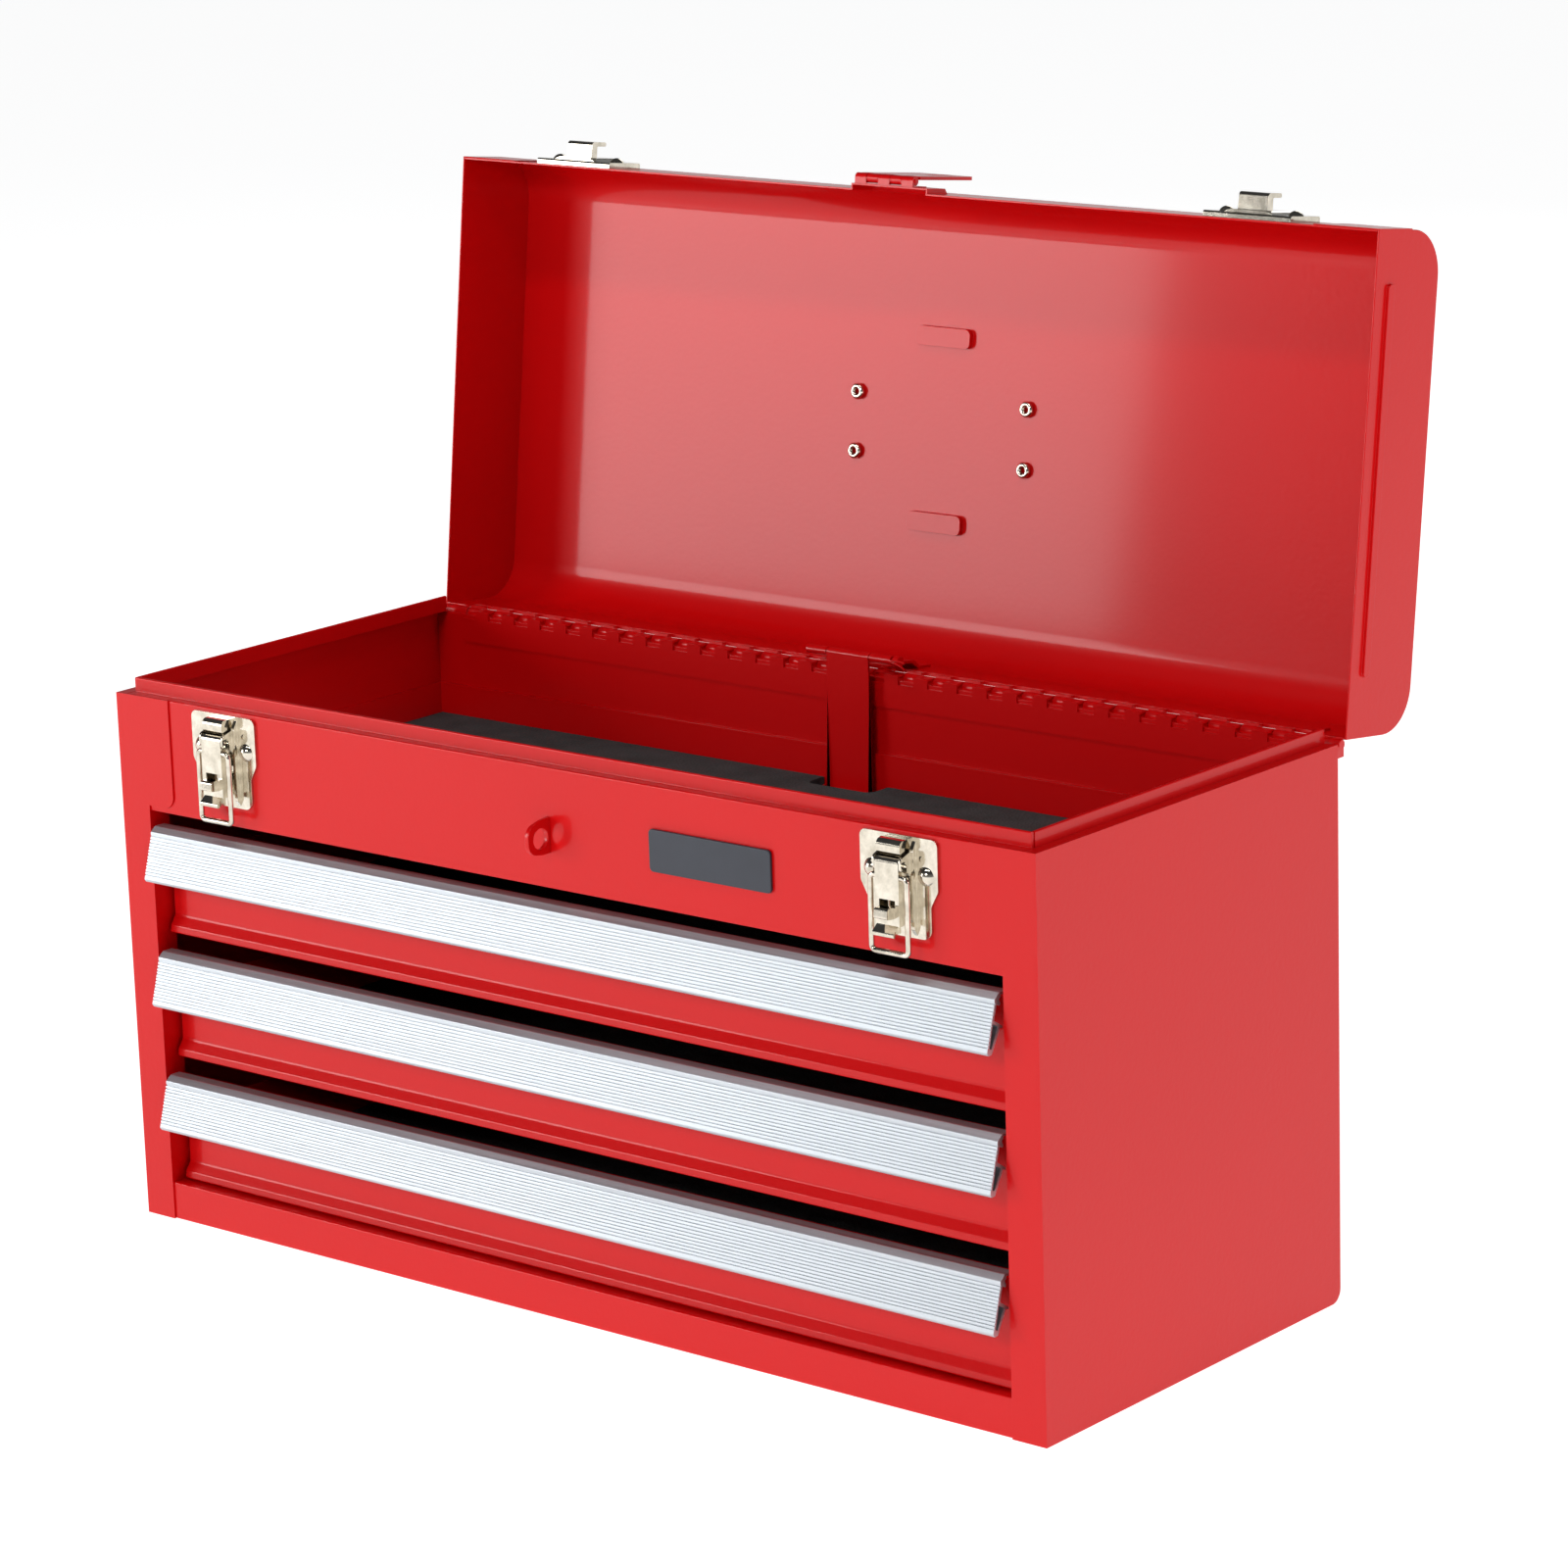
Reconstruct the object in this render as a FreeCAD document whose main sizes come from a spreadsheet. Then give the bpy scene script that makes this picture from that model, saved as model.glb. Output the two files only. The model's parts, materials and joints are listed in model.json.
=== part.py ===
import FreeCAD, Part
import Sketcher
import math
import os

# A portable sheet-steel tool chest: cabinet with an open till, hinged lid and three drawers.
# Frame: X to the right, Y from front to back, Z up, millimetres. Origin: centre of the base.
# The lid is drawn closed and then turned about its hinge, because the chest rests with it open.

doc = FreeCAD.newDocument("ToolChest")
sheet = doc.addObject("Spreadsheet::Sheet", "Sizes")
rows_used = []
shown = []


class Size:
    """A length that knows its number and the sheet expression it comes from."""

    def __init__(self, number, text=None):
        self.number = float(number)
        self.text = text if text is not None else f"{number}"

    @staticmethod
    def of(value):
        return value if isinstance(value, Size) else Size(value)

    def joined(self, other, number, sign):
        return Size(number, f"({self.text} {sign} {other.text})")

    def __add__(self, other):
        other = Size.of(other)
        return self.joined(other, self.number + other.number, "+")

    def __sub__(self, other):
        other = Size.of(other)
        return self.joined(other, self.number - other.number, "-")

    def __mul__(self, other):
        other = Size.of(other)
        return self.joined(other, self.number * other.number, "*")

    def __truediv__(self, other):
        other = Size.of(other)
        return self.joined(other, self.number / other.number, "/")

    def __radd__(self, other):
        return Size.of(other) + self

    def __rsub__(self, other):
        return Size.of(other) - self

    def __rmul__(self, other):
        return Size.of(other) * self

    def __neg__(self):
        return Size(-self.number, f"(-1 * {self.text})")


def size(name, number):
    """Puts a driving dimension in the next row of the sheet and returns it."""
    row = len(rows_used) + 1
    rows_used.append(name)
    sheet.set(f"A{row}", name)
    sheet.set(f"B{row}", f"{number}")
    sheet.setAlias(f"B{row}", name)
    return Size(number, f"Sizes.{name}")


# Driving dimensions: cabinet
body_width = size("body_width", 517)
body_depth = size("body_depth", 211)
ledge_height = size("ledge_height", 246.5)
steel = size("sheet_steel", 0.8)
rim_inset = size("rim_inset", 6)
rim_height = size("rim_height", 6.5)
hem = size("hem_thickness", 1.6)
column_width = size("column_width", 17.3)
flap_width = size("flap_width", 33)
flap_bottom = size("flap_bottom", 196.2)
return_depth = size("return_depth", 12)
opening_bottom = size("opening_bottom", 17.5)
opening_top = size("opening_top", 193.8)
back_top = size("back_top", 245.2)
back_bend = size("back_bend", 6)
hinge_half_length = size("hinge_half_length", 240.4)
till_floor = size("till_floor", 192)
till_wall_top = size("till_wall_top", 210.4)
till_foam = size("till_foam", 4)
notch_half_width = size("notch_half_width", 17.5)
notch_front = size("notch_front", 92.5)

# Driving dimensions: lid and hinge
lid_rim = size("lid_rim", 247.1)
lid_top = size("lid_top", 294.6)
lid_back = size("lid_back", 107.9)
lid_corner = size("lid_corner", 20)
lid_wall_edge = size("lid_wall_edge", 248.3)
hinge_y = size("hinge_y", 109.8)
hinge_z = size("hinge_z", 245.4)
barrel_radius = size("barrel_radius", 2.3)
hinge_pin_radius = size("hinge_pin_radius", 1.1)
knuckle_pitch = size("knuckle_pitch", 8.29)
knuckle_gap = size("knuckle_gap", 0.3)
lid_open_angle = size("lid_open_angle", 97.08)
pin_play = size("pin_play", 0.05)

# Driving dimensions: drawers
drawer_pitch = size("drawer_pitch", 58.7)
drawer_half_width = size("drawer_half_width", 239)
pan_half_width = size("pan_half_width", 238.4)
pan_height = size("pan_height", 34)
pan_back = size("pan_back", 93.8)
face_plane = size("face_plane", -95.8)
pull_half_width = size("pull_half_width", 238.8)
pull_rib_pitch = size("pull_rib_pitch", 1.4)
pull_rib_depth = size("pull_rib_depth", 0.5)
slide_half_width = size("slide_half_width", 240.7)
track_half_width = size("track_half_width", 241.2)

# Driving dimensions: latches, keepers, hasp, lug, handle, lock bar
latch_x = size("latch_x", 190.5)
latch_plate = size("latch_plate", 1.2)
lever_pivot_y = size("lever_pivot_y", -111.2)
lever_pivot_z = size("lever_pivot_z", 234.4)
lever_half_width = size("lever_half_width", 6)
bail_pivot_y = size("bail_pivot_y", -112.5)
bail_pivot_z = size("bail_pivot_z", 229)
bail_reach = size("bail_reach", 31.5)
bail_leg_x = size("bail_leg_x", 9.3)
bail_wire = size("bail_wire_radius", 1.2)
lug_x = size("lug_x", 1.3)
lug_thickness = size("lug_thickness", 2.2)
lug_hole_radius = size("lug_hole_radius", 4.5)
lug_hole_y = size("lug_hole_y", -110.7)
lug_hole_z = size("lug_hole_z", 216.7)
hasp_axis_y = size("hasp_axis_y", -110.6)
hasp_axis_z = size("hasp_axis_z", 249.6)
hasp_radius = size("hasp_radius", 2.1)
handle_x = size("handle_x", 48.5)
handle_y = size("handle_y", 2.6)
handle_rod = size("handle_rod_radius", 4)
bar_pin_y = size("bar_pin_y", 101.3)
bar_pin_z = size("bar_pin_z", 235.3)
bar_half_width = size("bar_half_width", 12)
bar_thickness = size("bar_thickness", 1.2)

half = body_width / 2
back = body_depth / 2
front = -back
inside = half - steel
band_front = front + steel
plate_front = band_front - latch_plate


# ---------------------------------------------------------------- helpers
def span(side, near, far):
    """The X range from near to far on the right (+1) or left (-1) of the middle."""
    near, far = Size.of(near), Size.of(far)
    return (near, far) if side > 0 else (-far, -near)


def box(name, x, y, z):
    """A Part::Box between three (low, high) pairs."""
    solid = doc.addObject("Part::Box", name)
    for side, base, (low, high) in (("Length", "x", x), ("Width", "y", y), ("Height", "z", z)):
        low, high = Size.of(low), Size.of(high)
        solid.setExpression(side, (high - low).text)
        solid.setExpression(f"Placement.Base.{base}", low.text)
    return solid


def rod(name, radius, x, y, z):
    """A Part::Cylinder along X, from x[0] to x[1], about the line at y, z."""
    solid = doc.addObject("Part::Cylinder", name)
    solid.Placement = FreeCAD.Placement(FreeCAD.Vector(), FreeCAD.Rotation(FreeCAD.Vector(0, 1, 0), 90))
    low, high = Size.of(x[0]), Size.of(x[1])
    solid.setExpression("Radius", Size.of(radius).text)
    solid.setExpression("Height", (high - low).text)
    for base, place in (("x", low), ("y", Size.of(y)), ("z", Size.of(z))):
        solid.setExpression(f"Placement.Base.{base}", place.text)
    return solid


def rounded(corners):
    """Places the ends of the straight runs of an outline, and the arcs between them."""
    points = [FreeCAD.Vector(Size.of(c[0]).number, Size.of(c[1]).number, 0) for c in corners]
    count = len(corners)
    ends = []
    for i, corner in enumerate(corners):
        u, v = Size.of(corner[0]), Size.of(corner[1])
        if len(corner) == 2:
            ends.append(((u, v), (u, v), None))
            continue
        radius = Size.of(corner[2])
        before = (points[i - 1] - points[i]).normalize()
        after = (points[(i + 1) % count] - points[i]).normalize()
        reach = 1 / math.tan(math.acos(before.dot(after)) / 2)
        arrive = (u + radius * (reach * before.x), v + radius * (reach * before.y))
        leave = (u + radius * (reach * after.x), v + radius * (reach * after.y))
        side = 1 if before.cross(after).z < 0 else -1
        spoke = FreeCAD.Vector(-side * -before.y, -side * before.x, 0)
        centre = FreeCAD.Vector(arrive[0].number, arrive[1].number, 0) + spoke * radius.number
        ends.append((arrive, leave, (radius, centre, side)))
    return ends


def draw_outline(sketch, corners):
    """Draws a closed outline of lines, with an arc at each corner that has a third value."""
    ends = rounded(corners)
    first = len(sketch.Geometry)
    count = len(ends)
    geometry, rules, bound = [], [], []

    def place(uv):
        return FreeCAD.Vector(uv[0].number, uv[1].number, 0)

    for i, (_, leave, _) in enumerate(ends):
        geometry.append(Part.LineSegment(place(leave), place(ends[(i + 1) % count][0])))
    for i, (arrive, leave, arc) in enumerate(ends):
        arriving, leaving = first + (i - 1) % count, first + i
        fixed = [(leaving, 1, leave)]
        if arc is None:
            rules.append(Sketcher.Constraint("Coincident", arriving, 2, leaving, 1))
        else:
            radius, centre, side = arc
            start, end = (arrive, leave) if side > 0 else (leave, arrive)
            from_centre, to_centre = place(start) - centre, place(end) - centre
            begin = math.atan2(from_centre.y, from_centre.x)
            finish = math.atan2(to_centre.y, to_centre.x)
            circle = Part.Circle(centre, FreeCAD.Vector(0, 0, 1), radius.number)
            curve = first + len(geometry)
            geometry.append(Part.ArcOfCircle(circle, begin, finish))
            near, far = (1, 2) if side > 0 else (2, 1)
            rules.append(Sketcher.Constraint("Coincident", arriving, 2, curve, near))
            rules.append(Sketcher.Constraint("Coincident", leaving, 1, curve, far))
            bound.append((len(rules), radius))
            rules.append(Sketcher.Constraint("Radius", curve, radius.number))
            fixed.append((arriving, 2, arrive))
        for line, end_of_line, uv in fixed:
            for kind, value in (("DistanceX", uv[0]), ("DistanceY", uv[1])):
                bound.append((len(rules), value))
                rules.append(Sketcher.Constraint(kind, -1, 1, line, end_of_line, value.number))
    start_rule = len(sketch.Constraints)
    sketch.addGeometry(geometry, False)
    sketch.addConstraint(rules)
    for index, value in bound:
        if "Sizes" in value.text:
            sketch.setExpression(f"Constraints[{start_rule + index}]", value.text)


def extruded(name, plane, corners, low, high, holes=()):
    """A PartDesign body: an outline on an origin plane, padded from low to high along its axis."""
    body = doc.addObject("PartDesign::Body", name)
    sketch = body.newObject("Sketcher::SketchObject", f"{name}_outline")
    origin_plane = [f for f in body.Origin.OriginFeatures if f.Role == f"{plane}_Plane"][0]
    sketch.AttachmentSupport = [(origin_plane, "")]
    sketch.MapMode = "FlatFace"
    low, high = Size.of(low), Size.of(high)
    offset = -high if plane == "XZ" else low
    sketch.setExpression(".AttachmentOffset.Base.z", offset.text)
    draw_outline(sketch, corners)
    for hole in holes:
        draw_outline(sketch, hole)
    pad = body.newObject("PartDesign::Pad", f"{name}_pad")
    pad.Profile = sketch
    pad.setExpression("Length", (high - low).text)
    body.Tip = pad
    return body


def joined(name, pieces):
    """One fused solid made of overlapping or touching pieces."""
    whole = doc.addObject("Part::MultiFuse", name)
    whole.Shapes = pieces
    whole.Refine = True
    return whole


def cut(name, base, tools):
    """The base with the tools taken away."""
    tool = tools[0] if len(tools) == 1 else joined(f"{name}_tools", tools)
    result = doc.addObject("Part::Cut", name)
    result.Base = base
    result.Tool = tool
    result.Refine = True
    return result


def group(name, pieces):
    """Separate solids that share one node."""
    together = doc.addObject("Part::Compound", name)
    together.Links = pieces
    return together


def from_shape(name, shape):
    """A Part::Feature for a piece that neither sketches nor primitives suit."""
    feature = doc.addObject("Part::Feature", name)
    feature.Shape = shape
    return feature


def node(piece, label):
    """Marks a piece as one of the parts that are written out."""
    piece.Label = label
    shown.append(piece)
    return piece


def on_lid(piece):
    """Turns a piece that was drawn on the closed lid about the hinge line to the open lid."""
    centre = FreeCAD.Vector(0, hinge_y.number, hinge_z.number)
    turn = FreeCAD.Rotation(FreeCAD.Vector(1, 0, 0), -lid_open_angle.number)
    opened = FreeCAD.Placement(FreeCAD.Vector(), turn, centre)
    piece.Placement = opened.multiply(piece.Placement)
    return piece


def bent_wire(points, radius, bend):
    """A round wire along straight runs joined by tangent arcs of one bend radius."""
    edges = []
    start = points[0]
    for i in range(1, len(points) - 1):
        before = (points[i - 1] - points[i]).normalize()
        after = (points[i + 1] - points[i]).normalize()
        inner = math.acos(before.dot(after))
        length = bend / math.tan(inner / 2)
        first, last = points[i] + before * length, points[i] + after * length
        middle = (before + after).normalize()
        top = points[i] + middle * (bend / math.sin(inner / 2) - bend)
        edges.append(Part.LineSegment(start, first).toShape())
        edges.append(Part.Arc(first, top, last).toShape())
        start = last
    edges.append(Part.LineSegment(start, points[-1]).toShape())
    path = Part.Wire(edges)
    ring = Part.Wire(Part.Circle(points[0], points[1] - points[0], radius).toShape())
    return path.makePipeShell([ring], True, False)


def domed_head(radius, height):
    """A rivet head: a shallow dome standing along -Y from the origin."""
    ball = (radius * radius + height * height) / (2 * height)
    dome = Part.makeSphere(ball, FreeCAD.Vector(0, ball - height, 0))
    slab = Part.makeBox(2 * radius + 2, height, 2 * radius + 2, FreeCAD.Vector(-radius - 1, -height, -radius - 1))
    return dome.common(slab)


def heads_at(name, places, radius, height):
    """Rivet heads at each place, facing the front."""
    heads = []
    for place in places:
        head = domed_head(radius, height)
        head.translate(FreeCAD.Vector(*[Size.of(p).number for p in place]))
        heads.append(head)
    return from_shape(name, Part.makeCompound(heads))


# ---------------------------------------------------------------- cabinet shell
def side_panel(label, side):
    """One end of the cabinet: wall, front column with its inner return, ledge and rim."""
    wall = extruded(f"{label}_wall", "YZ",
                    [(front, 0), (back, 0, back_bend), (back, ledge_height), (front, ledge_height)],
                    *span(side, inside, half))
    edge = [half, half - column_width, half - flap_width]
    outline = [(side * edge[0], 0), (side * edge[1], 0), (side * edge[1], flap_bottom),
               (side * edge[2], flap_bottom, 6), (side * edge[2], ledge_height),
               (side * edge[0], ledge_height)]
    column = extruded(f"{label}_column", "XZ", outline, front, band_front)
    inner = box(f"{label}_return", span(side, edge[1], edge[1] + steel),
                (front, front + return_depth), (opening_bottom, opening_top))
    ledge = box(f"{label}_ledge", span(side, half - rim_inset - 0.1, half),
                (front, back - 1.2), (ledge_height - steel, ledge_height))
    rim_near, rim_far = half - rim_inset - hem, half - rim_inset
    rim_top = ledge_height + rim_height
    rim = extruded(f"{label}_rim", "XZ",
                   [(side * rim_near, ledge_height - steel), (side * rim_far, ledge_height - steel),
                    (side * rim_far, rim_top, 0.7), (side * rim_near, rim_top, 0.7)],
                   front + rim_inset + hem + 0.3, back - 1.2)
    node(joined(label, [wall, column, inner, ledge, rim]), label)


def front_band():
    """The sheet above the drawers, bent back under the till and up into the front rim."""
    rim_front = front + rim_inset
    rim_top = ledge_height + rim_height
    band = extruded("band", "YZ",
                    [(band_front, opening_top), (-94, opening_top), (-94, opening_top + steel),
                     (band_front + steel, opening_top + steel), (band_front + steel, ledge_height - steel),
                     (rim_front + hem, ledge_height - steel), (rim_front + hem, rim_top, 0.7),
                     (rim_front, rim_top, 0.7), (rim_front, ledge_height), (band_front, ledge_height, 0.7)],
                    -(half - rim_inset - 0.3), half - rim_inset - 0.3)
    node(band, "front_band")


def base_pan():
    """The floor of the cabinet, with the bottom rail that the lowest drawer closes over."""
    rail = extruded("base", "YZ",
                    [(band_front, 0, 0.7), (back - 14, 0), (back - 14, steel), (band_front + steel, steel),
                     (band_front + steel, opening_bottom - steel), (front + return_depth, opening_bottom - steel),
                     (front + return_depth, opening_bottom), (band_front, opening_bottom, 0.7)],
                    -inside, inside)
    node(rail, "base_pan")


def back_panel():
    """The back sheet, bent under the base, with a folded tab at each rear corner."""
    sheet_back = extruded("back_sheet", "YZ",
                          [(back, back_top), (back, 0, back_bend), (back - 14, 0), (back - 14, steel),
                           (back - steel, steel, back_bend - steel), (back - steel, back_top)],
                          -inside, inside)
    pieces = [sheet_back]
    for side, word in ((-1, "left"), (1, "right")):
        across = span(side, hinge_half_length + 1.1, inside)
        pieces.append(box(f"tab_hem_{word}", across, (back, hinge_y + 1.5), (back_top - 5.3, back_top)))
        pieces.append(rod(f"tab_roll_{word}", barrel_radius - 0.1, across, hinge_y, hinge_z))
    node(joined("back_panel", pieces), "back_panel")


def till_pan():
    """The open tray that sits on the front band's lower flange, notched for the lock bar."""
    floor = till_floor - steel
    step = till_floor + 3.4
    front_wall, back_wall = -103.8, 103.85
    tray = extruded("tray", "YZ",
                    [(-93.2, floor), (-93.2, step - steel), (front_wall + steel, step - steel),
                     (front_wall + steel, step), (-93.2 + steel, step), (-93.2 + steel, till_floor),
                     (back_wall - steel, till_floor), (back_wall - steel, till_wall_top),
                     (back_wall, till_wall_top), (back_wall, floor)],
                    -(inside - 0.8), inside - 0.8)
    pieces = [tray]
    for side, word in ((-1, "left"), (1, "right")):
        across = span(side, inside - 1.6, inside - 0.8)
        pieces.append(box(f"tray_end_{word}", across, (-93.2, back_wall), (floor, till_wall_top)))
        pieces.append(box(f"tray_lip_{word}", across, (front_wall + steel, -93.2), (step - steel, till_wall_top)))
    notch = extruded("tray_notch", "XY",
                     [(-notch_half_width, notch_front, 6), (notch_half_width, notch_front, 6),
                      (notch_half_width, 103), (-notch_half_width, 103)], floor - 1, till_floor + 1)
    node(cut("till_pan", joined("tray_whole", pieces), [notch]), "till_pan")
    node(box("till_front_wall", (-(inside - 0.8), inside - 0.8), (front_wall, front_wall + steel),
             (step - steel, till_wall_top)), "till_front_wall")


def till_liner():
    """Foam mat on the till's floor, with the same notch a little larger."""
    far = inside - 1.9
    near_y, far_y = -92.2, 102.8
    wide = notch_half_width + 1
    mat = extruded("mat", "XY",
                   [(-far, near_y), (far, near_y), (far, far_y), (wide, far_y), (wide, notch_front - 3, 5),
                    (-wide, notch_front - 3, 5), (-wide, far_y), (-far, far_y)],
                   till_floor, till_floor + till_foam)
    node(mat, "till_liner")


def cabinet_runners():
    """Six bent channels that the drawer slides run along, one each side of each drawer."""
    pieces = []
    for number in range(3):
        base = opening_bottom + drawer_pitch * number + 12
        for side, word in ((-1, "left"), (1, "right")):
            near, far = side * track_half_width, side * inside
            wall_in, wall_out = side * (track_half_width + steel), side * (inside - steel)
            ledge = side * (track_half_width - 1.4)
            outline = [(ledge, base), (far, base), (far, base + 9), (wall_out, base + 9),
                       (wall_out, base + steel), (wall_in, base + steel), (wall_in, base + 9),
                       (near, base + 9), (near, base + steel), (ledge, base + steel)]
            pieces.append(extruded(f"runner_{number}_{word}", "XZ", outline, -93, 100))
    node(group("cabinet_runners", pieces), "cabinet_runners")


# ---------------------------------------------------------------- hinge
def knuckle_row(first, count_from_left):
    """Centres in X of the knuckles, every second one starting at the given place."""
    left = -hinge_half_length.number
    pitch = knuckle_pitch.number
    return [left + pitch * (place + 0.5) for place in range(count_from_left, 58, 2)][first:]


def hinge_leaf(label, start, leaf, neck):
    """A piano-hinge leaf: plate, necks and rolled knuckles round the pin."""
    y, z = hinge_y.number, hinge_z.number
    width = knuckle_pitch.number - knuckle_gap.number
    long = 2 * hinge_half_length.number
    plate = Part.makeBox(long, leaf[1] - leaf[0], leaf[3] - leaf[2],
                         FreeCAD.Vector(-hinge_half_length.number, leaf[0], leaf[2]))
    axis = FreeCAD.Vector(1, 0, 0)
    parts = []
    for centre in knuckle_row(0, start):
        low = centre - width / 2
        place = FreeCAD.Vector(low, y, z)
        parts.append(Part.makeCylinder(barrel_radius.number, width, place, axis))
        for y0, y1, z0, z1 in neck:
            parts.append(Part.makeBox(width, y1 - y0, z1 - z0, FreeCAD.Vector(low, y0, z0)))
    solid = plate.multiFuse(parts)
    bore = hinge_pin_radius.number + pin_play.number
    hole = Part.makeCylinder(bore, long + 2, FreeCAD.Vector(-long / 2 - 1, y, z), axis)
    return from_shape(label, solid.cut(hole).removeSplitter())


def hinge():
    """The long hinge between cabinet and lid, and its pin."""
    y, z, r = hinge_y.number, hinge_z.number, barrel_radius.number
    top = z + r
    fixed = hinge_leaf("hinge_leaf_cabinet", 1, (103.9, 104.6, 232, 243.4),
                       [(103.9, 104.6, 243.3, top), (103.9, y, top - 0.9, top)])
    node(fixed, "hinge_leaf_cabinet")
    moving = hinge_leaf("hinge_leaf_lid", 0, (106.2, 107.1, 248.3, 262),
                        [(106.4, y - r + 0.4, z, 248.2), (106.4, 107.1, z, 249)])
    node(on_lid(moving), "hinge_leaf_lid")
    pin = rod("hinge_rod", hinge_pin_radius, (-hinge_half_length - 0.4, hinge_half_length + 0.4), hinge_y, hinge_z)
    node(group("hinge_pin", [pin]), "hinge_pin")


# ---------------------------------------------------------------- lid shell (drawn closed)
def lid_wrap():
    """Front, top and back of the lid in one bent sheet with two wide round corners."""
    r = lid_corner
    wrap = extruded("wrap", "YZ",
                    [(front, lid_rim), (front, lid_top, r), (lid_back, lid_top, r), (lid_back, lid_wall_edge),
                     (lid_back - steel, lid_wall_edge), (lid_back - steel, lid_top - steel, r - steel),
                     (front + steel, lid_top - steel, r - steel), (front + steel, lid_rim)],
                    -inside, inside)
    bump = extruded("hasp_bump", "YZ",
                    [(front + 0.1, lid_rim), (front - 2.4, lid_rim), (front - 2.4, lid_rim + 13),
                     (front + 0.1, lid_rim + 15)],
                    -22, 21)
    hollow = extruded("hasp_hollow", "YZ",
                      [(front + 0.9, lid_rim - 0.1), (front - 1.6, lid_rim - 0.1), (front - 1.6, lid_rim + 12.6),
                       (front + 0.9, lid_rim + 14.6)],
                      -21.2, 20.2)
    dents, pockets = [], []
    for number, reach in enumerate((-42.3, 42.3)):
        y = handle_y + reach
        pockets.append(extruded(f"dent_{number}", "XY",
                                [(-14.6, y - 3.6, 2), (14.6, y - 3.6, 2), (14.6, y + 3.6, 2), (-14.6, y + 3.6, 2)],
                                lid_top - 2.6, lid_top + 1))
        dents.append(extruded(f"dent_floor_{number}", "XY",
                              [(-15.4, y - 4.4, 2.8), (15.4, y - 4.4, 2.8), (15.4, y + 4.4, 2.8),
                               (-15.4, y + 4.4, 2.8)],
                              lid_top - 2.6 - steel, lid_top - 0.4))
    skirts = []
    for side, word in ((-1, "left"), (1, "right")):
        skirts.append(box(f"lid_skirt_{word}", span(side, hinge_half_length + 1.1, inside),
                          (lid_back - steel, lid_back), (lid_rim, lid_wall_edge + 1)))
    whole = joined("lid_sheet", [wrap, bump] + dents + skirts)
    node(on_lid(cut("lid_wrap", whole, [hollow] + pockets)), "lid_wrap")


def lid_end(label, side):
    """An end panel of the lid: wall, stiffening bead, rim hem and the flap over the front wall."""
    r = lid_corner
    wall = extruded(f"{label}_wall", "YZ",
                    [(front, lid_rim), (front, lid_top, r), (lid_back, lid_top, r), (lid_back, lid_rim)],
                    *span(side, inside, half))
    bead = extruded(f"{label}_bead", "YZ",
                    [(-83, lid_rim + 8.2, 2), (82, lid_rim + 8.2, 2), (82, lid_rim + 12.8, 2),
                     (-83, lid_rim + 12.8, 2)],
                    *span(side, half - 0.1, half + 1.4))
    flap = extruded(f"{label}_flap", "XZ",
                    [(side * half, lid_rim), (side * (half - flap_width), lid_rim),
                     (side * (half - flap_width), lid_top - r - 2, 4), (side * half, lid_top - r - 2)],
                    front - 0.5, front)
    node(on_lid(joined(label, [wall, bead, flap])), label)


# ---------------------------------------------------------------- badge and padlock lug
def badge():
    """A blank name plate riveted flat to the front band."""
    plate = extruded("plate", "XZ",
                     [(58.5, 210, 2), (124, 210, 2), (124, 228.3, 2), (58.5, 228.3, 2)],
                     band_front - 1.5, band_front)
    node(plate, "badge")


def padlock_lug():
    """The eye on the front band that a padlock's shackle goes through."""
    near = band_front
    eye = extruded("eye", "YZ",
                   [(near, 209.4), (near, 225.1), (near - 5, 224.6, 3), (near - 13.8, 222.5, 5.6),
                    (near - 13.8, 210.9, 5.6), (near - 5, 209.4, 3)],
                   lug_x - lug_thickness / 2, lug_x + lug_thickness / 2)
    hole = rod("eye_hole", lug_hole_radius, (lug_x - 3, lug_x + 3), lug_hole_y, lug_hole_z)
    node(cut("padlock_lug", eye, [hole]), "padlock_lug")


# ---------------------------------------------------------------- draw latches
def latch_base(label, side):
    """The pressed plate of a draw latch: waisted outline, channel ribs, top bridge, pivot ears."""
    x = side * latch_x
    tall = [(x - 19.6, 244.7, 3), (x + 19.6, 244.7, 3), (x + 19.6, 223.5, 3), (x + 16, 217, 3),
            (x + 16, 203, 4.5), (x - 16, 203, 4.5), (x - 16, 217, 3), (x - 19.6, 223.5, 3)]
    plate = extruded(f"{label}_plate", "XZ", tall, plate_front, band_front)
    pieces = [plate]
    for edge in (-1, 1):
        word = "a" if edge < 0 else "b"
        rib_low, rib_high = span(edge, 7.2, 9.0)
        pieces.append(extruded(f"{label}_rib_{word}", "YZ",
                               [(plate_front + 0.2, 204), (plate_front - 1.9, 207, 1.5),
                                (plate_front - 1.9, 240, 1.5), (plate_front + 0.2, 243.4)],
                               x + rib_low, x + rib_high))
        ear_low, ear_high = span(edge, lever_half_width + 0.2, lever_half_width + 1.3)
        pieces.append(extruded(f"{label}_ear_{word}", "YZ",
                               [(plate_front + 0.2, 226), (lever_pivot_y + 2.4, 230.4, 1.5),
                                (lever_pivot_y - 2.5, 231.6, 2), (lever_pivot_y - 2.5, 237, 2.2),
                                (plate_front + 0.2, 239.5)],
                               x + ear_low, x + ear_high))
    pieces.append(extruded(f"{label}_bridge", "YZ",
                           [(plate_front + 0.2, 238.3), (-112.6, 238.3, 1), (-112.6, 243.8, 2.6),
                            (plate_front + 0.2, 243.8)],
                           x - lever_half_width, x + lever_half_width))
    bore = rod(f"{label}_bore", 1.1, (x - 8, x + 8), lever_pivot_y, lever_pivot_z)
    node(cut(label, joined(f"{label}_whole", pieces), [bore]), label)


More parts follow.
